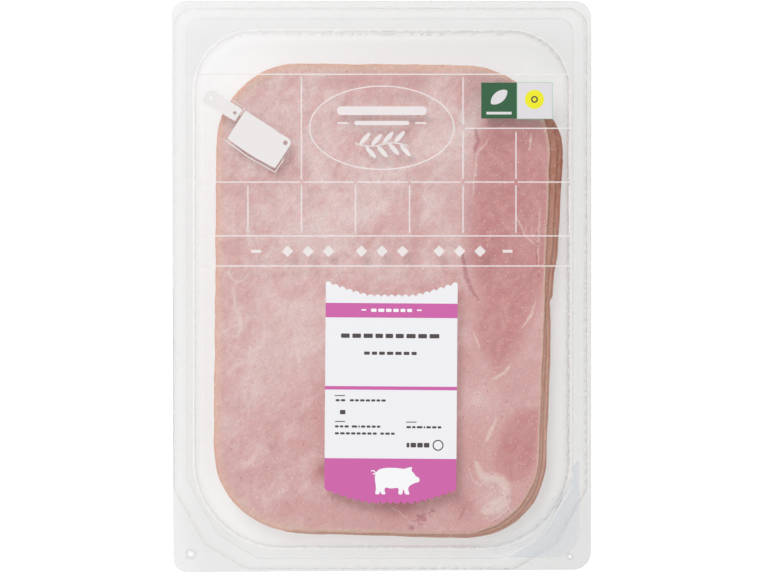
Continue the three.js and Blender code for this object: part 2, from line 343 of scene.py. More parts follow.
class Shader:
    """A material's node tree, with a short call for each kind of node that is used here."""

    def __init__(self, name):
        self.material = bpy.data.materials.new(name)
        self.material.use_nodes = True
        self.tree = self.material.node_tree
        self.tree.nodes.clear()

    def node(self, kind, sockets=(), **settings):
        """A new node. What goes into its sockets are other nodes' outputs, or plain values."""
        made = self.tree.nodes.new("ShaderNode" + kind)
        for key, value in settings.items():
            setattr(made, key, value)
        for key, value in dict(sockets).items():
            if isinstance(value, bpy.types.NodeSocket):
                self.tree.links.new(value, made.inputs[key])
            else:
                made.inputs[key].default_value = value
        return made

    def place(self, grain=1.0, turn=0.0):
        """Positions in the pack's frame, for textures drawn out along a turned grain."""
        here = self.node("TexCoord").outputs["Object"]
        sockets = {"Vector": here, "Scale": (grain, 1, 1), "Rotation": (0, 0, turn)}
        return self.node("Mapping", sockets, vector_type="TEXTURE").outputs["Vector"]

    def noise(self, size, detail=3.0, rough=0.55, bend=0.0, where=None):
        """Cloudy noise from 0 to 1, whose features are about size millimetres across."""
        sockets = {"Vector": where or self.place(), "Scale": 1 / (size * MM)}
        sockets |= {"Detail": detail, "Roughness": rough, "Distortion": bend}
        return self.node("TexNoise", sockets).outputs["Fac"]

    def warped(self, size):
        """Positions that wander by a fraction of a millimetre, for lines that aren't straight."""
        stray = self.node("TexNoise", {"Vector": self.place(), "Scale": 1 / (size * MM)})
        sockets = enumerate((stray.outputs["Color"], (size * MM,) * 3, self.place()))
        return self.node("VectorMath", sockets, operation="MULTIPLY_ADD").outputs["Vector"]

    def cells(self, size, where=None, feature="F1"):
        """Scattered points: the distance to the nearest (or to the border), and its colour."""
        sockets = {"Vector": where or self.place(), "Scale": 1 / (size * MM)}
        made = self.node("TexVoronoi", sockets, feature=feature)
        return made.outputs["Distance"], made.outputs.get("Color")

    def part(self, vector, axis):
        """One coordinate of a vector."""
        return self.node("SeparateXYZ", {0: vector}).outputs[axis]

    def attribute(self, name):
        return self.node("Attribute", attribute_name=name).outputs["Fac"]

    def math(self, operation, *values):
        return self.node("Math", enumerate(values), operation=operation).outputs[0]

    def weighted(self, total, *terms):
        """A total with values added to it, each given with its weight."""
        for value, weight in terms:
            total = self.math("MULTIPLY_ADD", value, weight, total)
        return total

    def ramp(self, value, low, high, start=0.0, end=1.0):
        """Smoothly from start to end as the value goes from low to high."""
        sockets = enumerate((value, low, high, start, end))
        return self.node("MapRange", sockets, interpolation_type="SMOOTHSTEP").outputs["Result"]

    def mix(self, share, first, second):
        sockets = zip(MIX_COLOUR_INPUTS, (share, first, second))
        return self.node("Mix", sockets, data_type="RGBA").outputs[MIX_COLOUR_OUTPUT]

    def layered(self, colour, *layers):
        """A colour with others laid over it in turn, each given as its share and itself."""
        for share, over in layers:
            colour = self.mix(share, colour, over)
        return colour

    def bump(self, height, strength, distance):
        sockets = {"Height": height, "Strength": strength, "Distance": distance * MM}
        return self.node("Bump", sockets).outputs["Normal"]

    def principled(self, **values):
        sockets = {key.replace("_", " "): value for key, value in values.items()}
        return self.node("BsdfPrincipled", sockets).outputs["BSDF"]

    def blend(self, share, first, second):
        """A mix of two whole surfaces."""
        return self.node("MixShader", enumerate((share, first, second))).outputs[0]

    def faint(self):
        """Marks what glows too little to be worth aiming light rays at."""
        self.material.cycles.emission_sampling = "NONE"

    def finish(self, surface):
        self.node("OutputMaterial", {"Surface": surface})
        return self.material


# ---- Materials ----


def clear_plastic(shader, haze_colour, ripple):
    """Thin clear plastic: it shows what is behind, mirrors more at a slant, and is a bit hazy, its haze
    also laying on painted shade and painted highlight where marked.
    """
    through = shader.node("BsdfTransparent", {"Color": srgb(254, 254, 254)}).outputs[0]
    frost = shader.math("ADD", shader.attribute("frost"), 0.008)
    cloudy = shader.principled(Base_Color=haze_colour, Roughness=0.5, Specular_IOR_Level=0.2)
    rippled = shader.bump(shader.noise(14, 0.0), ripple, 0.4)
    gloss = shader.node("BsdfGlossy", {"Roughness": 0.1, "Normal": rippled}).outputs[0]
    slant = shader.math("POWER", shader.node("LayerWeight").outputs["Facing"], 5.0)
    return shader.blend(
        shader.weighted(0.012, (slant, 0.3)), shader.blend(frost, through, cloudy), gloss
    )


def formed_plastic(name, haze_colour):
    """Clear plastic with patchy lines of painted shade where it is bent or cut."""
    shader = Shader(name)
    # Painted shade, brown-grey and patchy, along the marked lines.
    patchy_shade = shader.ramp(shader.noise(1.4, 2.0), 0.38, 0.58, 0.45, 1.0)
    cover = shader.math("MULTIPLY", shader.attribute("line"), patchy_shade)
    edge = shader.principled(Base_Color=srgb(148, 130, 118), Roughness=0.3)
    return shader.finish(shader.blend(cover, clear_plastic(shader, haze_colour, 0.1), edge))


def film_material():
    shader = Shader("film_clear")
    return shader.finish(clear_plastic(shader, srgb(236, 236, 237), 0.2))


def ink(name, colour, cover=1.0):
    """Printing ink: a little uneven, and see-through by what it leaves uncovered."""
    shader = Shader(name)
    colour = srgb(*colour)
    lighter = [min(1.0, channel * 1.06) for channel in colour]
    tone = shader.mix(shader.noise(0.7, 2.0), colour, lighter)
    return shader.finish(shader.principled(Base_Color=tone, Roughness=0.35, Alpha=cover))


def label_material():
    """Paper whose underside glows with painted light, white and magenta under the foot band, for the light
    that comes through it.
    """
    shader = Shader("label_paper")
    fibre = shader.noise(0.5, 4.0)
    facing = shader.part(shader.node("NewGeometry").outputs["Normal"], "Z")
    height = shader.part(shader.place(), "Y")
    foot = shader.math("LESS_THAN", height, (LABEL_MIDDLE[1] + FOOT_BAND) * MM)
    underside = shader.math("LESS_THAN", facing, -0.5)
    surface = shader.principled(
        Base_Color=shader.mix(fibre, srgb(232, 232, 236), srgb(240, 240, 243)),
        Roughness=0.4,
        Normal=shader.bump(fibre, 0.15, 0.02),
        # Painted light: the underside glows as if lit through the paper.
        Emission_Color=shader.mix(foot, srgb(255, 255, 255), srgb(140, 10, 50)),
        Emission_Strength=shader.math("MULTIPLY", underside, LABEL_GLOW),
    )
    shader.faint()
    return shader.finish(surface)


GRAIN_TURN = math.radians(55)  # how far the meat's grain is turned from across the pack


def ham_material():
    """Cured ham: mottled pale pink, a darker muscle, pale and dark seams, and a smoked rind."""
    shader = Shader("ham_meat")
    along_grain = shader.place(1.35, GRAIN_TURN)
    cloud = shader.noise(24, 3.0, 0.5, 0.6, along_grain)
    patch = shader.noise(7, 3.0, 0.55, 0.6, along_grain)
    mottle = shader.noise(2.2, 3.0, 0.6, 0.5, along_grain)
    grain = shader.noise(0.7, 2.0, 0.6, 0.0, along_grain)
    stray = shader.weighted(0.0, (mottle, 0.6), (grain, 0.4))
    crease = shader.cells(6, shader.warped(2.5), "DISTANCE_TO_EDGE")[0]
    creases = shader.math("MULTIPLY", shader.ramp(crease, 0.05, 0.0, 0.0, 0.2), patch)
    rim = shader.weighted(shader.attribute("rim"), (stray, 4.0))
    colour = shader.layered(
        meat_colour(shader, cloud, patch, mottle),
        muscle_layer(shader, patch, mottle),
        (seam(shader, "pale", stray, 0.7), srgb(238, 217, 208)),
        (seam(shader, "dark", stray, 0.6), srgb(172, 98, 104)),
        (creases, srgb(176, 112, 114)),
        (shader.ramp(rim, 6.0, 2.4, 0.0, 0.9), rind_colour(shader, mottle)),
        (white_flecks(shader), srgb(246, 234, 230)),
        (pits(shader), srgb(172, 84, 82)),
        (shader.ramp(grain, 0.35, 0.7, 0.0, 0.2), srgb(190, 136, 134)),
    )
    surface = shader.principled(
        Base_Color=colour,
        Roughness=shader.ramp(patch, 0.3, 0.7, 0.52, 0.4),
        Specular_IOR_Level=0.25,
        Subsurface_Weight=0.55,
        Subsurface_Radius=(1.0, 0.25, 0.2),
        Subsurface_Scale=0.003,
        Normal=shader.bump(shader.weighted(mottle, (grain, 0.5)), 0.3, 0.15),
    )
    return shader.finish(surface)


def meat_colour(shader, cloud, patch, mottle):
    """The pale pink of the cut face, with its redder and paler patches, some of the red being painted
    shadow beneath the label's foot.
    """
    paler = shader.attribute("paler")
    tone = shader.weighted(0.0, (patch, 0.4), (cloud, 0.4), (mottle, 0.28), (paler, 0.075))
    blush = shader.ramp(patch, 0.2, 0.6, 0.4, 1.0)
    flush = shader.math("MULTIPLY", shader.attribute("flush"), blush)
    return shader.layered(
        shader.mix(shader.ramp(tone, 0.4, 0.72), srgb(218, 171, 169), srgb(239, 215, 212)),
        (shader.ramp(mottle, 0.58, 0.8, 0.0, 0.42), srgb(210, 150, 148)),
        (shader.math("MAXIMUM", flush, 0.0), srgb(196, 134, 134)),
        (shader.math("MULTIPLY", flush, -1.0), srgb(238, 214, 210)),
    )


def muscle_layer(shader, patch, mottle):
    """How much of the darker muscle shows, and its colour."""
    wander = shader.weighted(-0.4, (mottle, 0.3), (patch, 0.5))
    muscle = shader.ramp(shader.math("ADD", shader.attribute("muscle"), wander), 0.25, 0.75)
    tone = shader.weighted(0.0, (patch, 0.4), (mottle, 0.6))
    colour = shader.mix(shader.ramp(tone, 0.34, 0.66), srgb(198, 132, 134), srgb(212, 156, 155))
    return shader.math("MULTIPLY", muscle, 0.92), colour


def rind_colour(shader, mottle):
    """Pale rind, browner at its very edge, and smoked brown deepened by painted shade where only a lower
    slice's edge shows.
    """
    uneven = shader.ramp(mottle, 0.35, 0.65)
    outermost = shader.ramp(shader.attribute("rim"), 1.1, 0.2, 0.0, 0.35)
    return shader.layered(
        shader.mix(uneven, srgb(218, 187, 170), srgb(226, 198, 183)),
        (outermost, srgb(208, 164, 138)),
        # Painted shade darkens the lower slices' edges along with their smoked brown.
        (shader.attribute("smoked"), shader.mix(uneven, srgb(172, 110, 80), srgb(184, 130, 102))),
    )


def white_flecks(shader):
    """Tiny specks of fat, in some of the cells of a fine pattern."""
    distance, chance = shader.cells(0.9)
    picked = shader.node("SeparateColor", {0: chance}).outputs[0]
    speck = shader.ramp(distance, 0.26, 0.1, 0.0, 0.75)
    return shader.math("MULTIPLY", speck, shader.math("GREATER_THAN", picked, 0.6))


def pits(shader):
    """Little dark holes, towards the foot and the right."""
    holes = shader.ramp(shader.cells(3.4)[0], 0.12, 0.06, 0.0, 0.45)
    return shader.math("MULTIPLY", holes, shader.ramp(shader.attribute("paler"), -0.2, -0.6))


def seam(shader, kind, ragged_by, strength):
    """How much of a seam shows, from how far to its side a place lies and its half width."""
    side = shader.weighted(shader.attribute(kind + "_across"), (ragged_by, 2.4))
    across = shader.math("ABSOLUTE", shader.math("SUBTRACT", side, 1.2))
    width = shader.attribute(kind + "_width")
    soft = shader.weighted(0.2, (width, 0.8))
    return shader.ramp(shader.math("SUBTRACT", width, across), 0.0, soft, 0.0, strength)


# ---- Tray ----

ROUND = 640  # points round the tray and the film
FLANGE_ANGLES = np.arctan2(*evenly_spaced(inset_outline(FLANGE_CORNERS), ROUND).T[::-1])
# The painted shade lines grow darker towards the right, away from the light.
DARKER_RIGHT = 1 + LINES_RIGHT * np.cos(FLANGE_ANGLES)
SPECK_CHANCE = np.random.default_rng(7).random(ROUND) ** 3  # a speck here and there


def reach(outline):
    """How far an outline lies from the middle in each of the flange's directions."""
    polar = np.unwrap(np.arctan2(outline[:, 1], outline[:, 0]))
    starts = np.vstack((outline, outline[:1]))
    polar = np.append(polar, polar[0] + 2 * math.pi)
    turned = (FLANGE_ANGLES - polar[0]) % (2 * math.pi) + polar[0]
    segment = np.clip(np.searchsorted(polar, turned, side="right") - 1, 0, len(outline) - 1)
    a = starts[segment]
    run = starts[segment + 1] - a
    across = a[:, 0] * run[:, 1] - a[:, 1] * run[:, 0]
    return across / (np.cos(FLANGE_ANGLES) * run[:, 1] - np.sin(FLANGE_ANGLES) * run[:, 0])


SEAL_START = reach(seal_outline(SEAL_OUTER))
SEAL_END = reach(seal_outline(SEAL_INNER))


def ring_points(radii, heights):
    """One ring of points, in the directions that the tray's and the film's rings share."""
    heights = np.broadcast_to(heights, radii.shape)
    return np.column_stack((radii * np.cos(FLANGE_ANGLES), radii * np.sin(FLANGE_ANGLES), heights))


def between(outer, inner, steps):
    """Radii spread evenly from one ring to another, without the first."""
    return [outer + (inner - outer) * step / steps for step in range(1, steps + 1)]


def edge_wave(radii):
    """How the free edge of the flange outside the seal rises and falls."""
    outside = np.clip((radii - SEAL_START) / EDGE_WAVE_IN, 0, 1)
    waves = (height * np.sin(count * FLANGE_ANGLES + start) for height, count, start in EDGE_WAVES)
    return outside * sum(waves)


def level(outer, inner, steps, height, frost):
    """Rings spread evenly from one to another at one height, without the first."""
    return [(radii, height, 0, frost) for radii in between(outer, inner, steps)]


def tray_section():
    """The tray's upper face, from the cut edge in to the floor.

    Each ring is its radii, its height, how dark a painted shade line it draws and how frosted it is.
    """
    edge = reach(inset_outline(FLANGE_CORNERS))
    lip_start = reach(inset_outline(WELL_CORNERS, -WELL_LIP))
    band_start, band_end = SEAL_START - SEAL_STEP, SEAL_END + SEAL_STEP
    bare_start = SEAL_END - SEAL_STEP
    sealed = FLANGE_TOP + SEAL_RISE
    seal_line = SEAL_LINE * DARKER_RIGHT
    rings = [(edge, FLANGE_TOP, EDGE_LINE, FLANGE_FROST)]
    rings += level(edge, edge - EDGE_LINE_WIDTH, 1, FLANGE_TOP, FLANGE_FROST)
    rings += level(edge - EDGE_LINE_WIDTH, SEAL_START + SEAL_STEP, 6, FLANGE_TOP, FLANGE_FROST)
    rings.append((SEAL_START, FLANGE_TOP + SEAL_RISE * 0.85, seal_line, FLANGE_FROST))
    rings.append((band_start, sealed, seal_line / 2, SEAL_FROST))
    rings += level(band_start, band_end, 3, sealed, SEAL_FROST)
    rings.append((SEAL_END, FLANGE_TOP + SEAL_RISE * 0.15, seal_line / 2, FLANGE_FROST))
    rings += level(SEAL_END, bare_start, 1, FLANGE_TOP, FLANGE_FROST)
    rings += level(bare_start, lip_start, 3, FLANGE_TOP, FLANGE_FROST)
    for inset, height, line in wall_profile():
        rings.append((reach(inset_outline(WELL_CORNERS, inset)), height, line, WELL_FROST))
    floor_edge = rings[-1][0]
    for share in (0.97, 0.9, 0.7, 0.45, 0.2):
        rings.append((floor_edge * share, WELL_FLOOR, 0, WELL_FROST))
    return rings


def wall_profile(lip_steps=6, wall_steps=6, foot_steps=7):
    """The well's wall from the lip down: how far in from its outline, how high, how dark its painted shade
    line.
    """
    profile = []
    lip_line = LIP_LINE * DARKER_RIGHT
    specks = TOP_SPECKS * np.clip(np.sin(FLANGE_ANGLES) * 4 - 3, 0, 1) * SPECK_CHANCE
    wall_top = FLANGE_TOP - WELL_LIP
    foot_top = WELL_FLOOR + WELL_FOOT
    for step in range(1, lip_steps + 1):
        angle = math.pi / 2 * (1 - step / lip_steps)
        line = lip_line if step > 1 else 0
        profile.append((WELL_LIP * (math.cos(angle) - 1), wall_top + WELL_LIP * math.sin(angle), line))
    for step in range(1, wall_steps):
        share = step / wall_steps
        line = (lip_line, specks, specks)[step - 1] if step < 4 else 0
        profile.append((WELL_DRAFT * share, wall_top + (foot_top - wall_top) * share, line))
    for step in range(foot_steps + 1):
        angle = math.pi / 2 * step / foot_steps
        inset = WELL_DRAFT + WELL_FOOT * (1 - math.cos(angle))
        profile.append((inset, foot_top - WELL_FOOT * math.sin(angle), 0))
    return profile


def offset_below(radii, heights, depth):
    """The tray's other face: every ring pushed out of the section by the wall's thickness."""
    run, rise = np.gradient(radii, axis=0), np.gradient(heights, axis=0)
    length = np.hypot(run, rise)
    return radii - depth * rise / length, np.maximum(heights + depth * run / length, UNDERSIDE)


# Share of its radius, height, how dark a painted shade line and how white a painted highlight is there.
DIMPLE_PROFILE = (
    (0.5, -0.05, 0, 0), (1.2, -0.05, 0, 0), (1.2, 0.0, 0, 0), (1.0, 0.1, 0.18, 0),
    (0.7, 0.42, 0.05, 0.1), (0.45, 0.53, 0, 0.7), (0.15, 0.58, 0, 0.9),
)
DIMPLE_STEPS = 28


def dimple_rings(x, y, radius):
    """A little blister pressed into a peel tab, as the rings of a closed cap."""
    rings = []
    for share, height, _, _ in DIMPLE_PROFILE:
        circle = disc_shape(x, y, radius * share, DIMPLE_STEPS)
        rings.append(np.column_stack((circle, np.full(DIMPLE_STEPS, FLANGE_TOP + height))))
    return rings


def over_top(marks):
    """One mark a ring, or one a point, for the tray's upper face, and none for its other face."""
    upper = np.array([np.broadcast_to(value, ROUND) for value in marks])
    return np.concatenate((np.zeros(upper.size), upper.ravel(), (0, 0)))


def make_tray(material):
    section = tray_section()
    radii = np.array([ring[0] for ring in section])
    heights = np.array([ring[1] + edge_wave(ring[0]) for ring in section])
    below_radii, below_heights = offset_below(radii, heights, WALL)
    rings = [ring_points(*ring) for ring in zip(below_radii[::-1], below_heights[::-1])]
    rings += [ring_points(*ring) for ring in zip(radii, heights)]
    mesh = mesh_of_rings("tray_shell", rings)
    # Painted shade: the grey haze rises towards the right and falls towards the top.
    right = PAINTED_SHADE_RISE[0] * radii * np.cos(FLANGE_ANGLES) / HALF_WIDTH
    up = PAINTED_SHADE_RISE[1] * radii * np.sin(FLANGE_ANGLES) / HALF_LENGTH
    frost, times = np.array([ring[3] for ring in section]).T[..., None]
    lines = over_top([ring[2] for ring in section])
    mark(mesh, line=lines, frost=over_top(frost + times * (right + up)))
    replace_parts(new_piece("tray_shell", mesh, material), "tray")


def make_dimples(material):
    # Each dimple gets a ring of painted shade and a white centre of painted highlight.
    marks = np.repeat(np.array(DIMPLE_PROFILE)[:, 2:], DIMPLE_STEPS, axis=0)
    lines, frost = np.vstack((marks, marks[:1], marks[-1:])).T
    for number, dimple in enumerate(DIMPLES, 1):
        name = f"tab_dimple_{number}"
        mesh = mesh_of_rings(name, dimple_rings(*dimple))
        mark(mesh, line=lines, frost=frost)
        new_piece(name, mesh, material)


# ---- Film ----


def make_film(material):
    edge = reach(inset_outline(FLANGE_CORNERS, FILM_INSET))
    slope_end = SEAL_END - FILM_SLOPE
    radii = [edge] + between(edge, SEAL_START, 5) + between(SEAL_START, SEAL_END, 2)
    radii += between(SEAL_END, slope_end, 4) + between(slope_end, SEAL_END * 0.05, 6)
    below, above = [], []
    for ring in radii:
        outside = np.clip((ring - SEAL_START) / FILM_DROOP_IN, 0, 1)
        climbed = np.clip((SEAL_END - ring) / FILM_SLOPE, 0, 1)
        raised = FILM_RAISED * climbed * climbed * (3 - 2 * climbed)
        height = FILM_SEALED + raised - FILM_DROOP * outside + FILM_WAVE * edge_wave(ring)
        below.append(ring_points(ring, height))
        above.append(ring_points(ring, height + FILM_THICKNESS))
    mesh = mesh_of_rings("film_sheet", below[::-1] + above)
    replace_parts(new_piece("film_sheet", mesh, material), "lid_film")


# ---- Ham ----

# What shows on the cut face: a darker muscle, and seams as points along them and a half width.
MUSCLE_OUTLINE = (
    (35.0, 58.5), (32.0, 47.0), (30.6, 28.0), (30.0, 9.0), (31.5, 4.0), (34.4, -4.5),
    (32.3, -14.0), (34.2, -22.0), (37.6, -26.5), (40.0, -31.2), (44.4, -26.4),
    (48.5, -20.5), (51.8, -11.5), (55.0, -3.0), (62.0, 8.0), (64.0, 44.0), (57.0, 58.0),
)
LOWER_MUSCLE = (
    (46.9, -43.4), (41.0, -52.1), (39.3, -58.3), (40.0, -64.2), (45.2, -67.0), (50.3, -66.6),
    (53.5, -60.7), (55.0, -53.1), (55.0, -42.7),
)
PALE_SEAMS = (
    (((-51.9, 8.6), (-53.2, 4.8), (-51.2, 1.8), (-48.6, 1.6), (-46.0, 5.0)), 1.0),
    (((-51.2, 1.4), (-51.0, -6.9), (-49.2, -10.1), (-48.7, -13.6), (-50.5, -18.2)), 1.2),
    (((-45.6, -20.8), (-46.4, -25.6)), 0.8),
    (((-29.2, -22.8), (-28.0, -28.8)), 0.8),
    (((32.4, -60.0), (34.8, -65.9), (41.0, -67.0), (43.4, -70.4), (41.7, -73.9), (36.4, -76.0)), 2.8),
    (((34.4, -78.4), (39.6, -77.4), (44.8, -74.0)), 2.8),
    (((40.1, -45.6), (38.0, -49.6), (35.8, -54.9)), 1.3),
    (((46.9, 24.7), (49.6, 17.8), (53.8, 14.4)), 0.7),
    (((53.6, -4.7), (52.1, -9.5), (48.5, -15.0)), 0.9),
    (((52.0, 53.8), (51.2, 46.6)), 0.7),
    (((55.2, 28.0), (54.6, 20.0), (54.4, 6.0)), 0.6),
    (((38.2, 53.1), (36.2, 49.3), (33.4, 46.8), (32.2, 37.5), (31.3, 28.5)), 0.6),
    (((45.2, -26.4), (43.2, -29.4), (40.4, -31.4), (37.2, -33.0)), 1.0),
    (((31.7, -15.0), (34.4, -22.3)), 0.7),
    (((2.6, -76.3), (6.4, -78.2), (10.2, -81.8)), 0.5),
    (((-40.1, 15.2), (-36.5, 12.0)), 0.5),
)
DARK_SEAMS = (
    (((27.9, 13.8), (28.4, 9.0), (29.5, 2.9), (31.7, -1.9), (34.0, -5.6)), 1.3),
    (((53.9, 14.7), (53.9, 6.8)), 0.6),
    (((54.6, 5.0), (54.6, 2.6)), 0.6),
    (((32.6, 55.0), (33.4, 50.4), (32.0, 46.0)), 1.4),
    (((46.9, -54.7), (46.0, -57.0), (44.8, -57.4)), 0.5),
    (((12.4, -79.2), (15.6, -81.2)), 2.2),
    (((9.2, -83.0), (11.4, -84.4)), 1.6),
    (((17.0, -77.4), (18.6, -78.4)), 1.3),
    (((28.9, -75.0), (28.8, -78.0), (26.3, -81.5)), 0.5),
    (((-36.8, 3.2), (-36.6, 2.8)), 0.6),
)
# Soft patches of the meat's own tone, two beneath the label's foot being painted shadow: middle, radius,
# and how much redder, or paler where that is below zero.
PATCHES = (
    (-28.2, -18.0, 13.0, -0.8), (-28.5, 13.0, 8.0, -0.6), (-42.5, -25.4, 6.0, -0.2),
    (0.2, 6.4, 8.0, -0.5), (13.0, 53.0, 10.0, -0.3), (32.4, -39.3, 7.0, -0.6),
    (37.5, -74.5, 5.0, -0.4), (-30.3, 49.0, 5.0, -0.5), (-50.3, 33.5, 4.0, 0.25),
    (-30.3, 40.3, 5.0, 0.3), (-43.4, -2.9, 4.5, 0.25), (27.0, 26.0, 6.0, 0.4),
    (-49.7, -43.0, 5.0, 0.35), (-38.2, -55.5, 3.2, 0.5), (-28.5, -44.8, 3.6, 0.4),
    (-53.0, -65.0, 5.0, 0.3), (-20.6, -64.0, 2.6, 1.0), (-33.0, -78.0, 4.0, 0.3),
    # The first two of these are painted shadow beneath the label's foot.
    (6.0, -75.0, 7.0, 0.9), (28.5, -76.5, 4.0, 0.8), (26.0, 38.0, 7.0, 0.35),
    (29.5, -4.7, 5.0, 0.5), (11.5, 71.4, 6.0, 0.5), (-15.0, 71.4, 5.0, 0.4),
    (4.5, 23.5, 5.0, -0.4),
)
SEAM_REACH = 3.0  # how far from a seam its marks are kept
RIND_NARROWER = 2.0  # how much narrower the rind shows at the right and the bottom
RIND_WIDER = 0.3  # and how much wider towards the top
SMOKED_NARROWER = 0.4  # the slices below show nothing but rind
# How dark that smoked brown with painted shade is, at heights up the pack.
SMOKED_AND_SHADED = ((-80.0, 0.25), (-45.0, 0.4), (-20.0, 0.45), (10.0, 0.65), (26.0, 0.75), (42.0, 1.0))
PALER_OVER = 60.0  # the face gets paler from this far below the middle to this far above it
PALER_END = 62.0  # but no longer so close to the top edge


def slice_outline(number, count):
    """Where a slice's middle lies, and its outline around that."""
    bow = math.sin(math.pi * (SLICE_COUNT - number) / FAN_SPAN)
    middle = np.array(FAN) * bow
    turned = placed(evenly_spaced(rounded_outline(SLICE_CORNERS), count), (0, 0), FAN_TURN * bow)
    return middle, np.array(turned)


def wave_at(x, y, number):
    along = np.cos(2 * math.pi * x / SLICE_WAVE_LENGTH[0] + 0.6)
    up = np.sin(2 * math.pi * y / SLICE_WAVE_LENGTH[1] + 0.4)
    return SLICE_WAVE * number / SLICE_COUNT * along * up


def ragged(arms, number):
    """The outline's arms made a little longer and shorter, as the slicer leaves the edge."""
    changed = []
    for x, y in arms:
        stray = 0.0
        for depth, fine, layer in RAGGED:
            stray += depth * noise.noise(Vector((x * fine, y * fine, layer * number)))
        share = 1 + stray / math.hypot(x, y)
        shift = 0.0
        if number < SLICE_COUNT:
            shift = np.interp(y, EDGE_HEIGHTS, EDGE_SHIFTS) * np.clip(x / 30, 0, 1)
        changed.append((x * share + shift, y * share))
    return np.array(changed)


def slice_rings(middle, arms, number, shares):
    """The rings of one slice: out along its underside, round its edge, in over its top."""
    base = SLICE_REST + (number - 1) * SLICE_PITCH
    rings = []

    def add(share, height, pull=0.0):
        lengths = np.hypot(*arms.T)[:, None]
        points = middle + arms * share * (1 - pull / lengths)
        heights = base + height + wave_at(*(arms * share).T, number)
        rings.append(np.column_stack((points, heights)))

    for share in shares[::-1]:
        add(share, 0.0)
    for pull, share in ((0.2, 0.0), (0.05, 0.12), (0.0, 0.4), (0.03, 0.76), (0.15, 0.95)):
        add(1.0, share * SLICE_THICKNESS, pull)
    for share in shares:
        add(share, SLICE_THICKNESS)
    return rings


def beside(points, line):
    """How far points lie to the left of a line of straight runs, and how far along it, 0 to 1."""
    line = np.array(line, float)
    runs = np.diff(line, axis=0)
    lengths = np.linalg.norm(runs, axis=1)
    headings = runs / lengths[:, None]
    joints = np.vstack((headings[:1], headings[:-1] + headings[1:], headings[-1:]))
    nearest = np.full(len(points), 1e9)
    across, along = np.zeros(len(points)), np.zeros(len(points))
    done = 0.0
    for number, (start, run, length) in enumerate(zip(line, runs, lengths)):
        share = np.clip((points - start) @ run / length**2, 0, 1)[:, None]
        away = points - start - share * run
        distance = np.linalg.norm(away, axis=1)
        heading = np.where(share <= 0, joints[number], np.where(share >= 1, joints[number + 1], run))
        side = heading[:, 0] * away[:, 1] - heading[:, 1] * away[:, 0]
        closer = distance < nearest
        across = np.where(closer, np.where(side >= 0, distance, -distance), across)
        along = np.where(closer, done + share[:, 0] * length, along)
        nearest = np.minimum(nearest, distance)
        done += length
    return across, along / done


def region_mask(points, outline, softness):
    """1 well inside an outline, 0 well outside, and 0.5 on it."""
    away = np.abs(beside(points, outline + outline[:1])[0])
    signed = np.where(inside(points, outline), away, -away)
    return np.clip(0.5 + signed / (2 * softness), 0, 1)


def mark_seams(mesh, kind, points, seams):
    """For each point the side distance to the nearest seam, and that seam's half width there."""
    nearest = np.full(len(points), SEAM_REACH)
    side, width = np.full(len(points), SEAM_REACH), np.zeros(len(points))
    for line, half_width in seams:
        across, along = beside(points, line)
        closer = np.abs(across) < nearest
        side = np.where(closer, across, side)
        width = np.where(closer, half_width * np.sin(math.pi * along) ** 0.5, width)
        nearest = np.minimum(nearest, np.abs(across))
    mark(mesh, **{kind + "_across": side, kind + "_width": width})


def mark_slice(mesh, edge_points, below):
    """What the ham's material reads: muscle, seams, the way in from the rim, and the smoke with painted
    shade.
    """
    count = len(mesh.vertices)
    places = np.empty(count * 3)
    mesh.vertices.foreach_get("co", places)
    flat = places.reshape(-1, 3)[:, :2] / MM
    x, y = flat.T
    tree = kdtree.KDTree(len(edge_points))
    for index, point in enumerate(edge_points):
        tree.insert((*point, 0), index)
    tree.balance()
    from_rim = np.array([tree.find((*point, 0))[2] for point in flat])
    narrower = 1 + RIND_NARROWER * np.clip(x / 50 - y / 120, 0, 1)
    narrower -= RIND_WIDER * np.clip(y / 30 - 1.5, 0, 1)
    paler = np.clip(y / PALER_OVER, -1, 1) - np.clip(x / 20 - 1, 0, 1)
    paler -= 1.6 * np.clip((y - PALER_END) / 12, 0, 1)
    muscle = np.maximum(region_mask(flat, MUSCLE_OUTLINE, 8.0), region_mask(flat, LOWER_MUSCLE, 4.5))
    # Redder and paler patches, two of them painted shadow.
    flush = np.zeros(count)
    for middle_x, middle_y, radius, strength in PATCHES:
        flush += strength * np.exp(-((np.hypot(x - middle_x, y - middle_y) / radius) ** 2))
    rim = from_rim * (SMOKED_NARROWER if below else narrower)
    # Smoked brown with painted shade, only on the slices below.
    smoked = np.interp(y, *zip(*SMOKED_AND_SHADED)) if below else np.zeros(count)
    mark(mesh, rim=rim, smoked=smoked, paler=paler, muscle=muscle, flush=flush)
    mark_seams(mesh, "pale", flat, PALE_SEAMS)
    mark_seams(mesh, "dark", flat, DARK_SEAMS)


def make_slices(material):
    for number in range(1, SLICE_COUNT + 1):
        shown = number in (1, SLICE_COUNT)
        middle, arms = slice_outline(number, 420 if shown else 300)
        arms = ragged(arms, number)
        inner = np.linspace(0.985, 0.02, 64) if shown else (0.99, 0.97, 0.94, 0.9, 0.8, 0.5, 0.1)
        mesh = mesh_of_rings(f"ham_{number}", slice_rings(middle, arms, number, list(inner)))
        mark_slice(mesh, middle + arms, number < SLICE_COUNT)
        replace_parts(new_piece(f"ham_{number}", mesh, material), f"ham_slice_{number}")


# ---- Print on the film ----

GRID_LINE = 0.45
GRID_LEFT, GRID_RIGHT = -63.9, 65.0
GRID_ROWS = {"top": 73.4, "upper": 54.7, "middle": 36.1, "lower": 17.5, "foot": 7.1}
GRID_GAP = 1.1  # between an upright line and the line across it
# Where each upright line is, and the rows that it runs between.
UPRIGHTS = {x: ("middle", "lower") for x in (-46.2, -9.0, 9.7)}
UPRIGHTS |= {-27.7: ("top", "middle", "lower"), 46.5: ("upper", "middle", "lower")}
UPRIGHTS |= {x: ("top", "upper", "middle", "lower") for x in (28.2, GRID_RIGHT)}


def line_across(left, right, y):
    return box_shape(left, y - GRID_LINE / 2, right, y + GRID_LINE / 2)


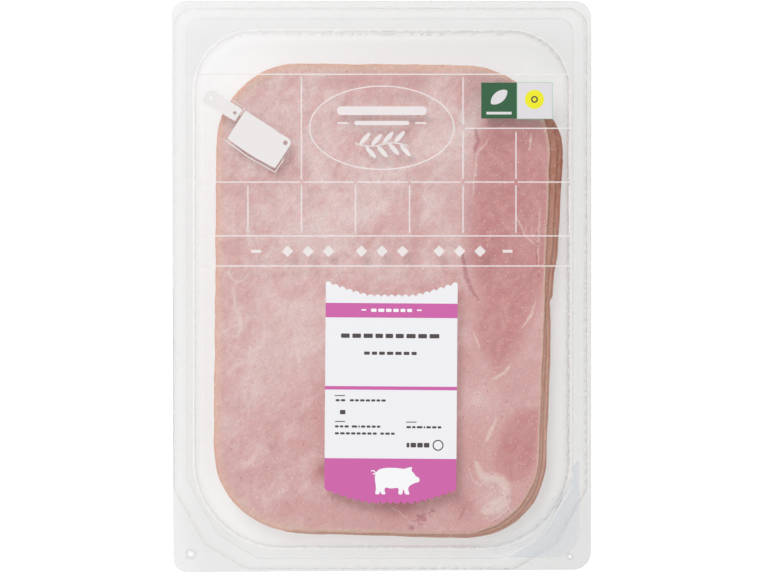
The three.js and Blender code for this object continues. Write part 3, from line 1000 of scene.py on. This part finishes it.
def grid_shapes():
    """A plain wall of tiles in thin lines."""
    shapes = [line_across(GRID_LEFT, GRID_RIGHT, GRID_ROWS[row]) for row in ("top", "lower", "foot")]
    shapes.append(line_across(28.9, GRID_RIGHT, GRID_ROWS["upper"]))
    stops = [GRID_LEFT - GRID_GAP / 2, -27.7, -9.0, 9.7, 28.2, 46.5, GRID_RIGHT + GRID_GAP / 2]
    for left, right in zip(stops, stops[1:]):
        shapes.append(line_across(left + GRID_GAP / 2, right - GRID_GAP / 2, GRID_ROWS["middle"]))
    for x, rows in UPRIGHTS.items():
        for upper, lower in zip(rows, rows[1:]):
            ends = (GRID_ROWS[lower] + GRID_GAP, GRID_ROWS[upper] - GRID_GAP)
            shapes.append(box_shape(x - GRID_LINE / 2, ends[0], x + GRID_LINE / 2, ends[1]))
    return shapes


CLEAVER_MIDDLE = (-42.0, 50.8)  # of the blade
CLEAVER_TURN = math.radians(-32.5)
BLADE_LENGTH = 19.4
BLADE_HEIGHT = 11.6
HANDLE_LENGTH = 13.6
HANDLE_WIDTH = 4.8


def cleaver_shapes():
    """A plain kitchen cleaver: a blade with a hole to hang it by, and a riveted handle."""
    half, high = BLADE_LENGTH / 2, BLADE_HEIGHT / 2
    tang = -half - 1.0
    butt = tang - HANDLE_LENGTH
    low = high - HANDLE_WIDTH - 0.3
    blade = (
        (-half, -high, 0.4), (0, -high - 0.5, 30), (half, -high + 0.2, 0.4),
        (half + 0.2, high, 2.0), (0, high - 0.5, 30), (-half, high, 0.4), (-half - 0.1, high - 5.2, 1.2),
    )
    handle = (
        (butt, low - 0.5, 1.6), (tang, low, 0.3), (tang, high - 0.3, 0.3), (butt, high - 0.1, 2.3),
    )
    rivets = [disc_shape(x, high - 2.7, 0.6) for x in (tang - 1.6, butt + 2.3)]
    edge_line = (
        (-half - 0.6, -high - 0.8), (0, -high - 1.5), (half + 0.7, -high - 0.9), (half + 0.9, -high + 4.5),
    )
    back_line = ((butt + 1.0, high + 0.5), (tang + 0.4, high + 0.5), (tang + 0.4, high - 2.4))
    shapes = [[rounded_outline(blade, 15), disc_shape(half - 1.7, high - 2.0, 0.8)]]
    shapes += [[rounded_outline(handle, 15)] + rivets, ribbon(edge_line, 0.35), ribbon(back_line, 0.25)]
    return placed_shapes(shapes, CLEAVER_MIDDLE, CLEAVER_TURN)


def ribbon(line, width):
    """A thin line through points, as one closed outline."""
    points = np.array(line, float)
    steps = np.diff(points, axis=0)
    steps /= np.linalg.norm(steps, axis=1)[:, None]
    ways = np.vstack((steps[:1], steps[:-1] + steps[1:], steps[-1:]))
    ways /= np.linalg.norm(ways, axis=1)[:, None]
    sides = np.column_stack((-ways[:, 1], ways[:, 0])) * width / 2
    return np.vstack((points - sides, (points + sides)[::-1]))


BADGE = (0.1, 54.9)  # middle of the plain oval plaque


def badge_shapes():
    """A plain oval plaque with a leafy sprig between rules."""
    x, y = BADGE

    def stem(step):
        return y - 5.8 + 0.6 * math.sin(step / 2.4)

    shapes = [[oval_shape(x, y, 25.2, 14.6), oval_shape(x, y, 24.8, 14.2)]]
    shapes.append(rounded_box(x - 15.5, y + 4.4, x + 15.5, y + 7.4, 1.4))
    shapes.append(rounded_box(x - 9.5, y + 0.9, x + 9.5, y + 2.4, 0.7))
    for dash in (x - 13.5, x + 13.5):
        shapes.append(rounded_box(dash - 2.0, y + 1.35, dash + 2.0, y + 1.95, 0.28))
    shapes.append(ribbon([(x + step, stem(step)) for step in range(-9, 10)], 0.4))
    for step in range(-7, 8, 2):
        side = 1 if step % 4 == 1 else -1
        leaf_middle = (x + step + 1.2, stem(step) + side * 2.2)
        shapes.append(placed(oval_shape(0, 0, 2.6, 0.8, 20), leaf_middle, side * math.radians(48)))
    return shapes


def slogan_shapes():
    """A row of lozenges in three groups, between two dashes."""
    middle = (GRID_ROWS["lower"] + GRID_ROWS["foot"]) / 2 - 0.1
    shapes = [box_shape(x - 1.7, middle - 0.5, x + 1.7, middle + 0.5) for x in (-43.4, 43.6)]
    for group in (-25.4, 0.2, 27.0):
        # A disc in four steps is a lozenge.
        shapes += [disc_shape(group + place, middle, 2.0, 4) for place in (-7.1, 0.0, 7.1)]
    return shapes


PANEL = {"left": 34.5, "middle": 46.8, "right": 59.0, "bottom": 58.1, "top": 70.5}


def make_panel():
    """The small two-part panel: a green field with a leaf, and a pale one with a yellow disc."""
    left, middle, right = PANEL["left"], PANEL["middle"], PANEL["right"]
    bottom, top = PANEL["bottom"], PANEL["top"]
    border = box_shape(middle, bottom - 0.2, right + 0.2, top + 0.2)
    printed("panel_border", [border], ink("ink_border", (160, 205, 180)))
    green = ink("ink_green", (34, 88, 52))
    printed("panel_green", [box_shape(left, bottom, middle, top)], green, INK * 2)
    pale = ink("ink_pale", (216, 214, 216))
    printed("panel_field", [box_shape(middle + 0.2, bottom, right, top)], pale, INK * 2)
    leaf_middle = ((left + middle) / 2, (bottom + top) / 2 + 1.2)
    marks = [placed(leaf_outline(3.6, 1.9), leaf_middle, math.radians(40))]
    marks.append(box_shape(left + 1.8, bottom + 1.4, middle - 1.8, bottom + 2.3))
    printed("panel_leaf", marks, pale, INK * 3)
    disc = ((middle + right) / 2, (bottom + top) / 2 + 0.4)
    printed("panel_disc", [disc_shape(*disc, 3.3, 40)], ink("ink_yellow", (231, 227, 14)), INK * 3)
    ring = [disc_shape(*disc, 1.2), disc_shape(*disc, 0.7)]
    printed("panel_disc_mark", [ring], ink("ink_dark_small", (70, 66, 58)), INK * 4)


def leaf_outline(half_length, half_width, steps=16):
    angles = np.linspace(0, math.pi, steps)
    upper = [(half_length * math.cos(a), half_width * math.sin(a) ** 1.4) for a in angles]
    return upper + [(x, -y) for x, y in upper[::-1][1:-1]]


# The tinted bands printed over the lower right peel tab, from the well outwards.
PEEL_KNEES = ((68.4, -75.6), (59.8, -89.9), (57.8, -91.4), (52.6, -93.7))
PEEL_EDGE = ((66.1, -69.9), (62.4, -75.9), (56.6, -85.2), (50.2, -89.8))
PEEL_BAND = ((68.3, -60.1), (66.2, -62.0)) + PEEL_EDGE + ((43.0, -93.7),) + PEEL_KNEES[::-1]
PEEL_CORNER = ((61.3, -93.4), (64.2, -92.2), (66.5, -90.2), (67.8, -87.7), (68.4, -84.7)) + PEEL_KNEES
PEEL_INNER = ((66.1, -66.4), (63.9, -67.6), (57.9, -74.2), (50.2, -81.6), (42.6, -86.6), (33.0, -89.4))
PEEL_INNER += ((40.0, -92.6),) + PEEL_EDGE[::-1]


def printed(name, shapes, material, lift=0.0):
    new_piece(name, flat_mesh(name, shapes, FILM_TOP + lift, INK), material)


def make_film_print():
    white = ink("ink_white", (238, 233, 233), 0.82)
    solid = ink("ink_solid", (235, 231, 231), 0.9)
    printed("print_grid", grid_shapes(), ink("ink_line", (238, 232, 232), 0.74))
    printed("print_cleaver", cleaver_shapes(), solid, INK * 1.5)
    printed("print_badge", badge_shapes(), white)
    printed("print_slogan", slogan_shapes(), white)
    printed("print_peel_band", [PEEL_BAND], ink("ink_peel", (206, 211, 217), 0.26))
    printed("print_peel_corner", [PEEL_CORNER], ink("ink_peel_pale", (208, 213, 218), 0.16))
    printed("print_peel_inner", [PEEL_INNER], ink("ink_peel_faint", (214, 217, 221), 0.14))
    make_panel()


# ---- Label ----


def label_bend(across):
    """How far the label's ends have bent, from 0 at its sides to 1 over its middle third."""
    return 1 - max(0.0, (abs(across) - LABEL_FLAT) / (1 - LABEL_FLAT)) ** LABEL_BEND_POWER


def label_outline():
    """Straight sides, a top edge that dips in round bumps, and a foot that hangs in teeth."""
    half_width, half_height = LABEL_WIDTH / 2, LABEL_HEIGHT / 2
    points = label_foot()
    steps = 10 * LABEL_BUMPS
    for step in range(steps + 1):
        across = 1 - 2 * step / steps
        bump = abs(math.sin(math.pi * step / 10)) ** 0.8 * LABEL_BUMP_HEIGHT
        top = half_height - LABEL_TOP_DOWN - LABEL_TOP_DIP * label_bend(across)
        points.append((across * half_width, top + bump))
    return points


def label_foot():
    points = []
    for tooth in range(2 * LABEL_BUMPS + 1):
        across = tooth / LABEL_BUMPS - 1
        hang = LABEL_FOOT_HANG * label_bend(across) + tooth % 2 * LABEL_TOOTH_HEIGHT
        points.append((across * LABEL_WIDTH / 2, -LABEL_HEIGHT / 2 - hang))
    return points


# Rows of short dashes on the label: left, middle height, thickness, gap, widths.
BAND_ROW = (-7.1, 25.85, 1.1, 0.6, (1.9, 2.1, 1.9, 1.9, 1.7, 1.7))
WORD_ROWS = (
    (-17.4, 17.0, 1.5, 0.9, (3.0, 3.0, 3.2, 2.6, 2.6, 2.8, 3.2, 3.0, 3.4)),
    (-9.4, 11.0, 1.1, 0.7, (2.0, 1.8, 2.0, 2.2, 2.2, 2.0, 1.8)),
    (-19.1, -5.35, 0.75, 0.4, (1.4, 1.5)),
    (-14.2, -5.35, 0.75, 0.4, (1.4, 1.3, 1.6, 1.5, 1.4, 1.3, 1.5)),
    (-17.6, -9.45, 1.5, 0.4, (1.9,)),
    (-19.3, -14.4, 0.75, 0.4, (1.3, 1.2, 1.5)),
    (-13.5, -14.4, 0.75, 0.4, (1.9, 0.5, 1.5, 1.4, 1.4, 1.2)),
    (-19.3, -16.8, 0.75, 0.4, (1.4, 1.6, 1.4, 1.5, 1.4, 1.5, 1.5, 1.4)),
    (-3.6, -16.8, 0.75, 0.4, (1.3, 1.6, 1.3)),
    (5.4, -14.5, 0.75, 0.4, (1.6, 1.2, 2.0, 0.5, 1.6, 1.5, 1.3)),
    (5.5, -20.7, 1.6, 0.4, (1.0, 1.9, 1.9, 1.9)),
)
PIG_MIDDLE = (1.5, -33.1)
RULES = ((-19.4, -15.9, -3.75), (-19.3, -15.8, -12.7), (5.3, 8.9, -12.75))  # left, right, height


def dash_row(left, middle, thick, gap, widths):
    shapes = []
    for width in widths:
        corner = min(0.3, width / 2.5, thick / 2.5)
        shapes.append(rounded_box(left, middle - thick / 2, left + width, middle + thick / 2, corner))
        left += width + gap
    return shapes


def pig_shapes():
    """A plain pig seen from the side, facing right, about its own middle."""
    outline = (
        (-6.9, 0.8), (-6.7, 2.7), (-5.4, 4.0), (-3.0, 4.5), (0.5, 4.5), (3.4, 4.1), (4.2, 4.5),
        (6.1, 4.9), (5.7, 3.5), (6.7, 2.6), (7.3, 1.6), (8.5, 1.1), (8.6, -0.3), (7.2, -0.6),
        (5.9, -1.2), (4.9, -1.9), (4.6, -3.0), (5.3, -4.7), (3.7, -4.7), (3.2, -3.3), (2.9, -2.7),
        (2.7, -4.7), (1.2, -4.7), (1.5, -2.3), (-1.4, -2.7), (-3.2, -2.2), (-3.6, -3.2),
        (-3.0, -4.7), (-4.6, -4.7), (-5.0, -3.3), (-5.3, -4.7), (-6.8, -4.7), (-6.4, -2.6),
    )
    turns = np.linspace(-0.3 * math.pi, 1.3 * math.pi, 12)
    tail = [(-7.2 - 0.12 * turn + 0.6 * math.sin(turn), 2.9 - 0.6 * math.cos(turn)) for turn in turns]
    return [smoothed(outline), ribbon(tail, 0.35)]


def smoothed(outline, rounds=2):
    """A closed outline with its corners cut, and the cuts' corners cut again."""
    points = np.array(outline)
    for _ in range(rounds):
        following = np.roll(points, -1, axis=0)
        near, far = 0.8 * points + 0.2 * following, 0.2 * points + 0.8 * following
        points = np.column_stack((near, far)).reshape(-1, 2)
    return points


def on_label(name, shapes, material, lift=0.0):
    turned = placed_shapes(shapes, LABEL_MIDDLE, LABEL_TURN)
    mesh = flat_mesh(name, turned, FILM_TOP + LABEL_THICKNESS + lift, INK)
    new_piece(name, mesh, material)


def make_label():
    outline = placed(label_outline(), LABEL_MIDDLE, LABEL_TURN)
    mesh = flat_mesh("label_sheet", [outline], FILM_TOP + LABEL_GAP, LABEL_THICKNESS - LABEL_GAP)
    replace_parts(new_piece("label_sheet", mesh, label_material()), "label")
    half = LABEL_WIDTH / 2
    bands = [box_shape(-half, 23.3, half, 28.3), box_shape(-half, -1.66, half, -0.45)]
    bands.append(label_foot() + [(half, FOOT_BAND), (-half, FOOT_BAND)])
    on_label("label_bands", bands, ink("ink_magenta", (200, 93, 164)))
    white = ink("ink_label_white", (240, 240, 243))
    ends = [box_shape(x - 0.8, 25.7, x + 0.8, 26.2) for x in (-9.6, 9.6)]
    on_label("label_band_dashes", dash_row(*BAND_ROW) + ends, white, INK)
    words = [dash for row in WORD_ROWS for dash in dash_row(*row)]
    words += [box_shape(left, y - 0.16, right, y + 0.16) for left, right, y in RULES]
    words.append([disc_shape(16.4, -20.7, radius, 40) for radius in (1.9, 1.5)])
    on_label("label_words", words, ink("ink_dark", (72, 62, 62)))
    on_label("label_pig", placed_shapes(pig_shapes(), PIG_MIDDLE, 0.0), white, INK)


# ---- Stage, light and camera ----

FRAME_WIDTH_PIXELS = 772
METRES_PER_PIXEL = 0.000346
VIEW_MIDDLE = (0.00156, -0.00104)  # what the photograph is centred on
CAMERA_DISTANCE = 1.6
SENSOR_WIDTH = 36.0
CLEAR_LAYERS = 32  # how many faces of clear plastic a ray may pass
FLOOR_HALF = 3.0
FLOOR_GLOW = 0.62  # the floor is a light table: the pack is lit from behind as well
ROOM_LIGHT = 0.74
# Round lamps aimed at the pack: where each is, how wide and how strong.
LAMPS = {"key": ((-0.6, 1.0, 1.75), 0.95, 15.0), "glint": ((0.75, -0.8, 1.1), 0.14, 1.0)}
LAMP_TARGET = Vector((0.0, 0.0, 0.01))


def make_stage():
    corners = box_shape(-FLOOR_HALF, -FLOOR_HALF, FLOOR_HALF, FLOOR_HALF)
    mesh = new_mesh("floor", [(x, y, 0) for x, y in corners], [(0, 1, 2, 3)])
    shader = Shader("floor_white")
    surface = shader.principled(
        Base_Color=shader.mix(shader.noise(300, 2.0), srgb(190, 190, 190), srgb(192, 192, 192)),
        Roughness=0.8,
        Emission_Color=(1, 1, 1, 1),
        Emission_Strength=FLOOR_GLOW,
    )
    shader.faint()
    mesh.materials.append(shader.finish(surface))
    floor = in_scene("floor", mesh)


def make_light():
    world = bpy.data.worlds.new("studio")
    world.use_nodes = True
    background = world.node_tree.nodes["Background"]
    background.inputs["Color"].default_value = (1, 1, 1, 1)
    background.inputs["Strength"].default_value = ROOM_LIGHT
    bpy.context.scene.world = world
    for name, (place, size, power) in LAMPS.items():
        light = bpy.data.lights.new(name, "AREA")
        light.shape = "DISK"
        light.size = size
        light.energy = power
        lamp = in_scene(name, light)
        lamp.location = place
        lamp.rotation_euler = (LAMP_TARGET - Vector(place)).to_track_quat("-Z", "Y").to_euler()


def make_camera():
    camera = bpy.data.cameras.new("camera")
    camera.sensor_width = SENSOR_WIDTH
    camera.lens = SENSOR_WIDTH * CAMERA_DISTANCE / (FRAME_WIDTH_PIXELS * METRES_PER_PIXEL)
    holder = in_scene("camera", camera)
    holder.location = (*VIEW_MIDDLE, CAMERA_DISTANCE + FLANGE_TOP * MM)
    scene = bpy.context.scene
    scene.camera = holder
    scene.view_settings.view_transform = "Standard"
    scene.cycles.transparent_max_bounces = CLEAR_LAYERS


make_camera()
make_stage()
make_light()
make_tray(formed_plastic("tray_clear", srgb(175, 175, 174)))
# The dimples' near-white haze is a painted highlight.
make_dimples(formed_plastic("dimple_clear", srgb(250, 250, 250)))
make_film(film_material())
make_slices(ham_material())
make_film_print()
make_label()
